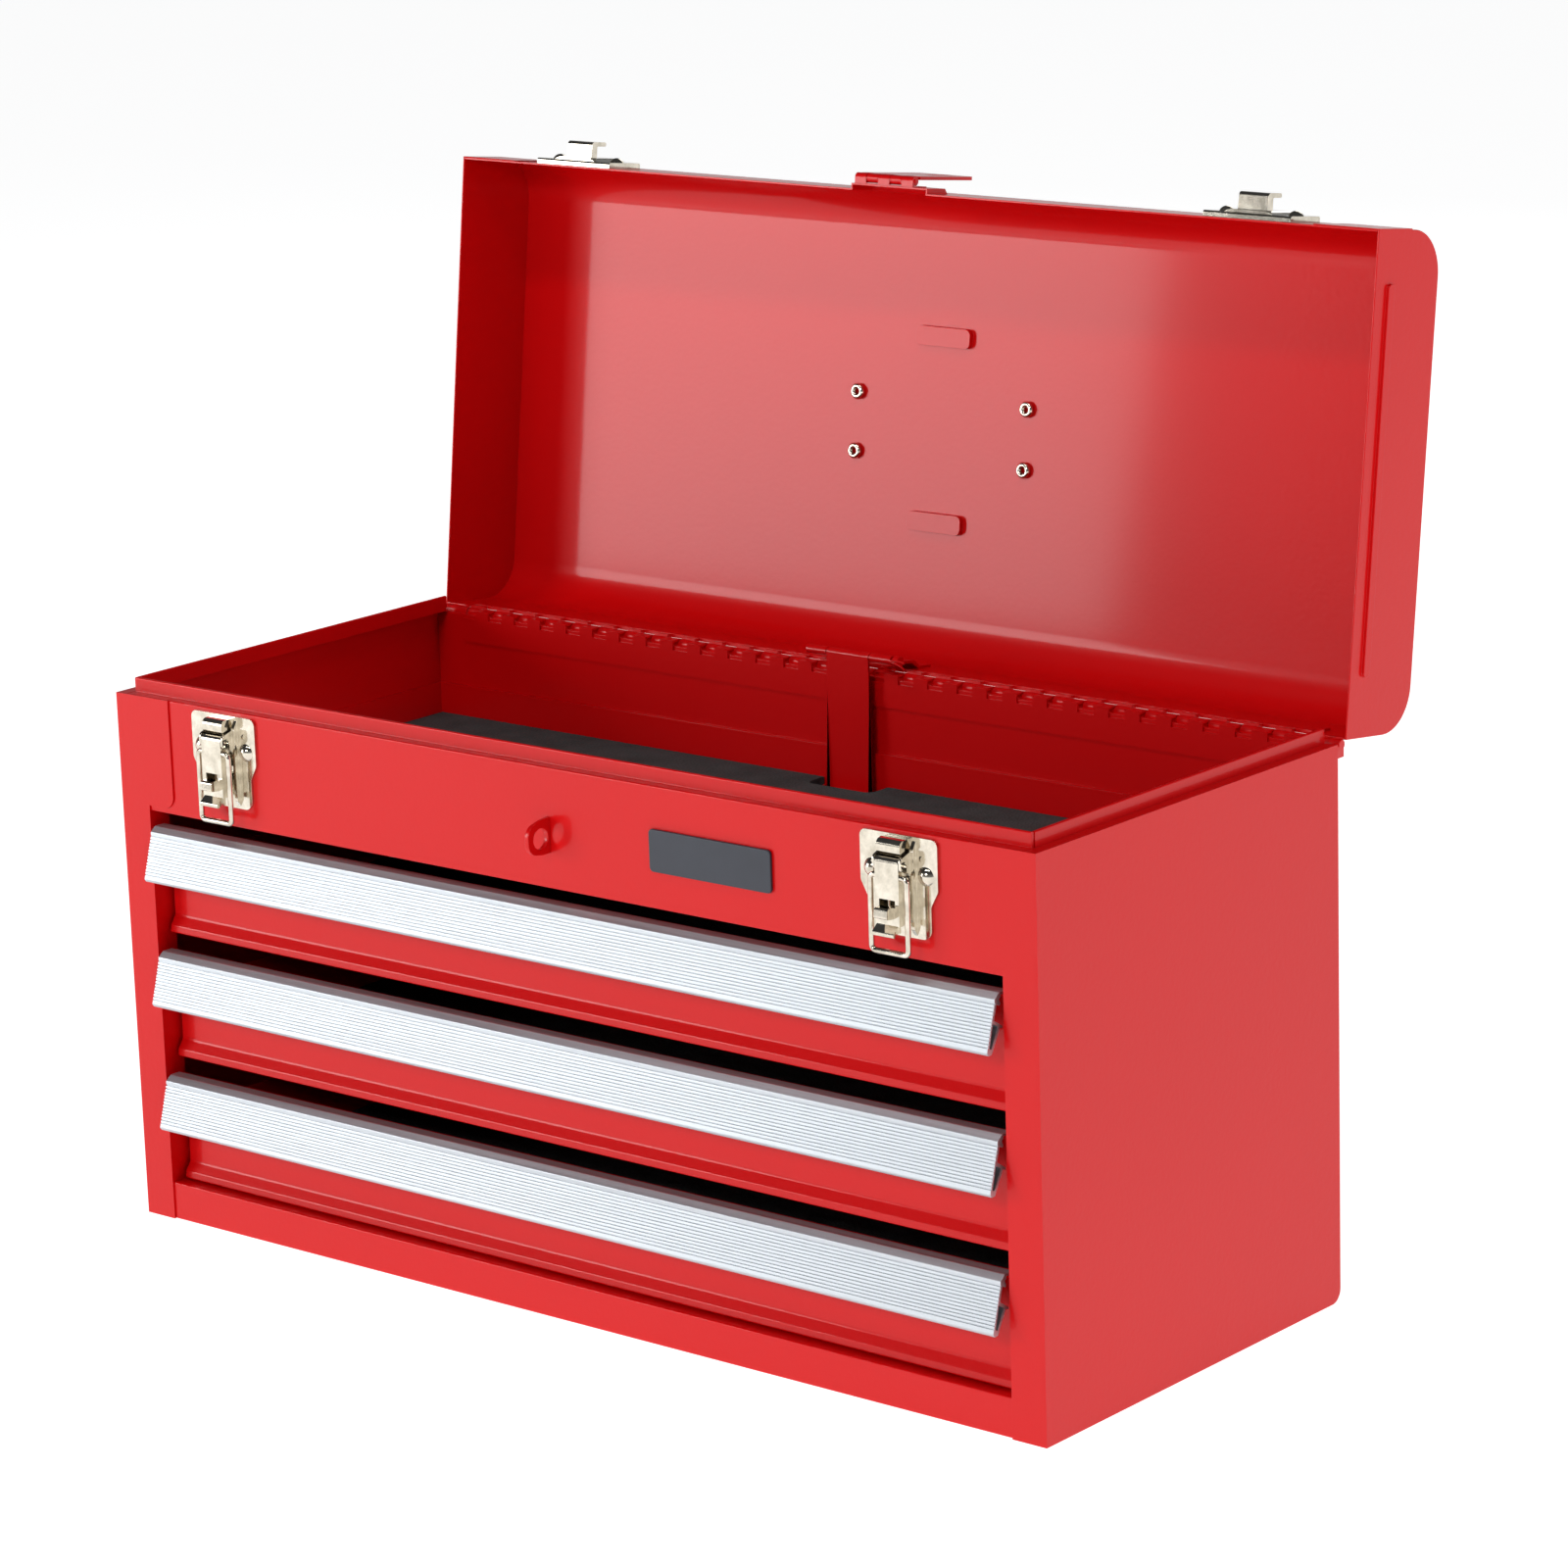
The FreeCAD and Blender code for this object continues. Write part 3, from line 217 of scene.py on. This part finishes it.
# %% Nickel, aluminium and zinc
METALS = {
    "bright_nickel_plate": ("#BEB6A6", "#E4DCCD", 0.1, (160, 160, 160), 0.00003),
    "satin_anodised_aluminium": ("#BCC1C6", "#CCD1D6", 0.5, (4, 300, 300), 0.00001),
    "zinc_plated_strip": ("#9A9EA2", "#BFC4C8", 0.34, (40, 500, 500), 0.00004)}
metal = {}
for name, (dark, light, roughness, grain, depth) in METALS.items():
    metal[name], tree, shader = new_material(name, {"Metallic": 1.0})
    place = add(tree, "ShaderNodeTexCoord").outputs["Object"]
    # The stretched scale draws the grain long across the chest and fine the other two ways.
    stretched = add(tree, "ShaderNodeMapping", sockets={"Scale": grain}, links={"Vector": place})
    lines = add(tree, "ShaderNodeTexNoise", sockets={"Scale": 1.0, "Detail": 4.0, "Roughness": 0.6},
                links={"Vector": stretched.outputs["Vector"]})
    tone = add(tree, "ShaderNodeValToRGB", links={"Fac": lines.outputs["Fac"]})
    for stop, at, hex_colour in zip(tone.color_ramp.elements, (0.3, 0.7), (dark, light)):
        stop.position, stop.color = at, linear(hex_colour)
    haze = add(tree, "ShaderNodeMapRange", sockets={"To Min": roughness * 0.75, "To Max": roughness * 1.25},
               links={"Value": lines.outputs["Fac"]})
    scratch = add(tree, "ShaderNodeBump", sockets={"Strength": 0.2, "Distance": depth},
                  links={"Height": lines.outputs["Fac"]})
    add(tree, shader, links={"Base Color": tone.outputs["Color"], "Roughness": haze.outputs["Result"],
                             "Normal": scratch.outputs["Normal"]})
    print("made", name)

# %% [markdown]
# ## Foam, lacquer and vinyl
# The till and the drawers are lined with closed-cell foam, a matt dark grey with fine cells. The
# name plate is dark lacquer with a satin sheen. The handle's grip is soft black vinyl with the
# fine leather texture of its mould. Each has small cells as bump and a cloudy colour.

# %% Foam, lacquer and vinyl
SOFT_BLACKS = {
    "closed_cell_foam": ("#333B3B", "#434B4B", 0.93, 0.0014, 0.0005),
    "moulded_black_vinyl": ("#0C0C0D", "#151517", 0.48, 0.0010, 0.0001),
    "dark_plate_lacquer": ("#2B2E37", "#31343E", 0.36, 0.0016, 0.00002)}
black = {}
for name, (dark, light, roughness, cell, depth) in SOFT_BLACKS.items():
    black[name], tree, shader = new_material(name, {"Roughness": roughness, "IOR": 1.46})
    place = add(tree, "ShaderNodeTexCoord").outputs["Object"]
    # F1 is the distance to the nearest cell's centre, so each cell reads as one small round pore.
    cells = add(tree, "ShaderNodeTexVoronoi", settings={"feature": "F1"}, sockets={"Scale": 1 / cell},
                links={"Vector": place})
    cloud = add(tree, "ShaderNodeTexNoise", sockets={"Scale": 60.0, "Detail": 5.0}, links={"Vector": place})
    tone = add(tree, "ShaderNodeValToRGB", links={"Fac": cloud.outputs["Fac"]})
    for stop, at, hex_colour in zip(tone.color_ramp.elements, (0.3, 0.7), (dark, light)):
        stop.position, stop.color = at, linear(hex_colour)
    pores = add(tree, "ShaderNodeBump", sockets={"Strength": 0.6, "Distance": depth},
                links={"Height": cells.outputs["Distance"]})
    add(tree, shader, links={"Base Color": tone.outputs["Color"], "Normal": pores.outputs["Normal"]})
    print("made", name)

# %% [markdown]
# ## Dress the CAD nodes
# Each CAD node takes the material of its real finish. The record's slots say which node has
# which finish, so one table from slot to material is enough.

# %% Give each node its finish
finish_of_slot = {
    "red_enamel": red_enamel, "nickel_plate": metal["bright_nickel_plate"],
    "anodised_aluminium": metal["satin_anodised_aluminium"], "zinc_steel": metal["zinc_plated_strip"],
    "black_foam": black["closed_cell_foam"], "badge_plate": black["dark_plate_lacquer"],
    "handle_rubber": black["moulded_black_vinyl"]}


def dress(piece, slot):
    """Gives a piece the one material of its slot."""
    piece.data.materials.clear()
    piece.data.materials.append(finish_of_slot[slot])


for name, piece in nodes.items():
    dress(piece, slot_of_node[name])
print("dressed", len(nodes), "nodes")


# %% [markdown]
# ## Bench tools
# A few small helpers that the next steps share: pick one piece to work on, smooth it, apply its
# modifiers, and let it stand for its CAD node.


# %% Pick, smooth, apply and stand for
def pick(piece):
    """Makes the piece the only one selected and the active one."""
    bpy.ops.object.select_all(action="DESELECT")
    piece.select_set(True)
    bpy.context.view_layer.objects.active = piece


def smooth(piece, degrees=35):
    """Smooth shading with creases at sharp edges."""
    pick(piece)
    bpy.ops.object.shade_smooth_by_angle(angle=math.radians(degrees))


def apply_all(piece):
    """Applies every modifier of the piece."""
    pick(piece)
    for modifier in list(piece.modifiers):
        bpy.ops.object.modifier_apply(modifier=modifier.name)


def flatten_shading(piece):
    """Weights the shading by face area, so that big flat faces stay flat between round edges."""
    weigh = piece.modifiers.new("weigh", "WEIGHTED_NORMAL")
    weigh.keep_sharp = True
    apply_all(piece)


def stand_for(piece, node):
    """The piece takes the node's finish, rides with its body and hides it."""
    dress(piece, slot_of_node[node])
    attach(piece, body_of_node[node])
    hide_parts(node)


def settle(piece, name):
    """Names the piece and its mesh and puts its place, turn and size into its mesh."""
    piece.name = piece.data.name = name
    pick(piece)
    bpy.ops.object.transform_apply(location=True, rotation=True, scale=True)


# %% [markdown]
# ## Ease the folded edges
# Folded and pressed steel has no knife edges: every fold and every painted edge is a little
# round and catches a thread of light. A copy of the CAD piece is merged back to clean faces, its
# edges are bevelled by a few tenths of a millimetre, and it stands for the plain node. The name
# plate on the front band is a thin lacquered blank, and gets the same treatment.


# %% Bevelled copies of the pressed parts
WELD_GAP = 0.005 * MM
FLAT_ANGLE = math.radians(0.5)
FOLD_ANGLE = math.radians(28)


def eased(node, width, segments):
    """A copy of a node with all its sharp edges bevelled by a width in millimetres."""
    piece = bpy.data.objects.new(f"{node}_eased", nodes[node].data.copy())
    bpy.context.collection.objects.link(piece)
    pick(piece)
    bpy.ops.object.mode_set(mode="EDIT")
    bpy.ops.mesh.select_all(action="SELECT")
    bpy.ops.mesh.remove_doubles(threshold=WELD_GAP)
    bpy.ops.mesh.dissolve_limited(angle_limit=FLAT_ANGLE)
    bpy.ops.object.mode_set(mode="OBJECT")
    bevel = piece.modifiers.new("edge", "BEVEL")
    bevel.width, bevel.segments = width * MM, segments
    bevel.limit_method, bevel.angle_limit = "ANGLE", FOLD_ANGLE
    bevel.use_clamp_overlap = True
    apply_all(piece)
    smooth(piece)
    flatten_shading(piece)
    stand_for(piece, node)
    return piece


SHEET_PARTS = ["side_panel_left", "side_panel_right", "front_band", "base_pan", "back_panel", "till_pan",
               "till_front_wall", "lid_wrap", "lid_end_left", "lid_end_right", "lock_bar",
               "lock_bar_bracket", "padlock_lug", "hasp_plate"]
SHEET_PARTS += [f"drawer_{n}_{part}" for n in (1, 2, 3) for part in ("pan", "front")]
PRESSED_PARTS = ["latch_base_left", "latch_base_right", "latch_lever_left", "latch_lever_right",
                 "keeper_left", "keeper_right", "handle_brackets", "badge"]
for names, width, segments in ((SHEET_PARTS, 0.35, 2), (PRESSED_PARTS, 0.4, 3)):
    for node in names:
        made = eased(node, width, segments)
        print("eased", node, len(made.data.polygons), "faces")

# %% [markdown]
# ## Smooth the turned and drawn parts
# Pins, wire bails, rivet heads, hinge knuckles and the extruded pulls have the right shape in the
# CAD already. They only need smooth shading, with creases kept where the metal really turns.

# %% Smooth shading on round parts
ROUND_PARTS = [name for name in nodes if name.endswith(("_rivets", "_pin")) or "_bail" in name
               or name.startswith(("hinge_leaf", "latch_pin", "hasp_leaf"))]
for node in ROUND_PARTS:
    smooth(nodes[node], 40)
for n in (1, 2, 3):
    smooth(nodes[f"drawer_{n}_pull"], 8)
print("smoothed", len(ROUND_PARTS) + 3, "parts")

# %% [markdown]
# ## Foam mats
# The mats are cut from closed-cell foam sheet. A knife leaves their edges a little crushed and
# rounded, and the sheet never lies perfectly flat. Each mat starts as a block of the CAD mat's
# size, gets rounded edges, is divided, and its top is dented by a soft noise of up to 0.6 mm.
# The till's mat also has a slot at the rear, which the lock bar drops through.


# %% Cut and lay the mats
CRUSHED_EDGE = 0.9 * MM
MAT_CUTS = 14
WAVE_SIZE = 0.03
DENT = 0.6 * MM
TOP_SKIN = 0.3 * MM
NOTCH_GAP = 6.5 * MM
NOTCH_CORNER = 4 * MM
PAST_EDGE = 10 * MM
CUTTER_HEIGHT = 30 * MM


def foam_mat(node):
    """A mat with rounded edges and a gently uneven top, inside its CAD mat's box."""
    low, high = (Vector(corner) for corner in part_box(node))
    bpy.ops.object.select_all(action="DESELECT")
    bpy.ops.mesh.primitive_cube_add(size=1, location=(low + high) / 2, scale=high - low)
    mat = bpy.context.object
    settle(mat, f"{node}_mat")
    bpy.ops.object.mode_set(mode="EDIT")
    bpy.ops.mesh.select_all(action="SELECT")
    bpy.ops.mesh.bevel(offset=CRUSHED_EDGE, segments=3, affect="EDGES")
    bpy.ops.mesh.select_all(action="SELECT")
    bpy.ops.mesh.subdivide(number_cuts=MAT_CUTS)
    bpy.ops.object.mode_set(mode="OBJECT")
    waves = bpy.data.textures.new(f"{node}_waves", "CLOUDS")
    waves.noise_scale = WAVE_SIZE
    lift = mat.modifiers.new("lift", "DISPLACE")
    lift.texture, lift.texture_coords = waves, "LOCAL"
    lift.direction, lift.mid_level, lift.strength = "Z", 1.0, DENT
    top_points = [v.index for v in mat.data.vertices if v.co.z > high.z - TOP_SKIN]
    group = mat.vertex_groups.new(name="top")
    group.add(top_points, 1.0, "REPLACE")
    lift.vertex_group = "top"
    apply_all(mat)
    return mat


def cut_notch(mat, half_width, front):
    """Cuts the round-cornered slot that the lock bar drops through, out past the mat's rear edge."""
    rear = max(vertex.co.y for vertex in mat.data.vertices) + PAST_EDGE
    bpy.ops.object.select_all(action="DESELECT")
    bpy.ops.mesh.primitive_cube_add(size=1, location=(0, (front + rear) / 2, mat.data.vertices[0].co.z),
                                    scale=(2 * half_width, rear - front, CUTTER_HEIGHT))
    cutter = bpy.context.object
    settle(cutter, "notch_cutter")
    corners = cutter.modifiers.new("corners", "BEVEL")
    corners.width, corners.segments = NOTCH_CORNER, 6
    apply_all(cutter)
    slot = mat.modifiers.new("notch", "BOOLEAN")
    slot.object, slot.operation = cutter, "DIFFERENCE"
    apply_all(mat)
    bpy.data.objects.remove(cutter)


for node in ["till_liner"] + [f"drawer_{n}_liner" for n in (1, 2, 3)]:
    made = foam_mat(node)
    if node == "till_liner":
        bar_low, bar_high = (Vector(corner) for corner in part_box("lock_bar"))
        cut_notch(made, bar_high.x + NOTCH_GAP, bar_low.y)
    smooth(made, 60)
    stand_for(made, node)
    print("laid", made.name, len(made.data.polygons), "faces")

# %% [markdown]
# ## Handle grip
# The grip is a sleeve of soft vinyl moulded round the handle's wire, with shallow rings for the
# fingers and a rolled bead at each end. A ring of points is drawn at one end and pulled along the
# wire again and again, and after each pull it is widened or narrowed, as on a lathe.

# %% Moulded grip
low, high = (Vector(corner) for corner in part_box("handle_grip"))
middle = (low + high) / 2
INSIDE_CAD = 0.05 * MM
full = min(high.y - low.y, high.z - low.z) / 2 - INSIDE_CAD
length = high.x - low.x
RINGS = 22
# Radii as parts of the full radius. One ring is a fall, a groove, a rise and a crest.
first_bead = [0.78, 0.96, 1.0, 0.96]
ring = [0.955, 0.89, 0.87, 0.89, 0.955, 0.985]
last_bead = [0.955, 0.96, 1.0, 0.96, 0.78]
profile = first_bead + ring * RINGS + last_bead
bpy.ops.object.select_all(action="DESELECT")
bpy.ops.mesh.primitive_circle_add(vertices=40, radius=full * profile[0], fill_type="NGON",
                                  location=(low.x, middle.y, middle.z), rotation=(0, math.radians(90), 0))
sleeve = bpy.context.object
settle(sleeve, "handle_grip_sleeve")
bpy.ops.object.mode_set(mode="EDIT")
bpy.ops.mesh.select_all(action="SELECT")
step = length / (len(profile) - 1)
for before, after in zip(profile, profile[1:]):
    bpy.ops.mesh.extrude_region_move(TRANSFORM_OT_translate={"value": (step, 0, 0)})
    bpy.ops.transform.resize(value=(1, after / before, after / before))
bpy.ops.mesh.select_all(action="SELECT")
bpy.ops.mesh.normals_make_consistent(inside=False)
bpy.ops.object.mode_set(mode="OBJECT")
smooth(sleeve, 50)
stand_for(sleeve, "handle_grip")
print("grip", len(sleeve.data.polygons), "faces")

# %% [markdown]
# ## Split pin
# The lock bar's pin is held by a split pin through its right end, whose two thin legs lie apart
# and point away to the right. A leg is a small ring of points pulled along in short steps, each
# a little lower, so that the wire sags in a smooth bow.


# %% Bent legs of the split pin
def wire_leg(name, start, steps, radius):
    """A round wire from a start point along a list of steps, closed at both ends."""
    bpy.ops.object.select_all(action="DESELECT")
    bpy.ops.mesh.primitive_circle_add(vertices=10, radius=radius, fill_type="NGON", location=start,
                                      rotation=(0, math.radians(90), 0))
    leg = bpy.context.object
    settle(leg, name)
    bpy.ops.object.mode_set(mode="EDIT")
    bpy.ops.mesh.select_all(action="SELECT")
    for move in steps:
        bpy.ops.mesh.extrude_region_move(TRANSFORM_OT_translate={"value": move})
    bpy.ops.mesh.select_all(action="SELECT")
    bpy.ops.mesh.normals_make_consistent(inside=False)
    bpy.ops.object.mode_set(mode="OBJECT")
    smooth(leg, 40)
    dress(leg, "red_enamel")
    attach(leg, "lid")
    return leg


LEG_RADIUS = 0.45 * MM
LEG_STEP = 1.6 * MM
LEG_STEPS = 6
BEND_MM, SAG_MM = 0.12, 0.09
FROM_PIN_END, BEFORE_AXIS = 4.2 * MM, 2.4 * MM
pin_low, pin_high = (Vector(corner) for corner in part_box("lock_bar_pin"))
pin_axis = (pin_low + pin_high) / 2
for name, rise in (("split_pin_upper_leg", 0.28), ("split_pin_lower_leg", -0.12)):
    steps = [(LEG_STEP, -BEND_MM * MM * n, (rise - SAG_MM * n) * MM) for n in range(LEG_STEPS)]
    root = (pin_high.x - FROM_PIN_END, pin_axis.y - BEFORE_AXIS, pin_axis.z + rise * MM)
    made = wire_leg(name, root, steps, LEG_RADIUS)
    print("made", made.name)
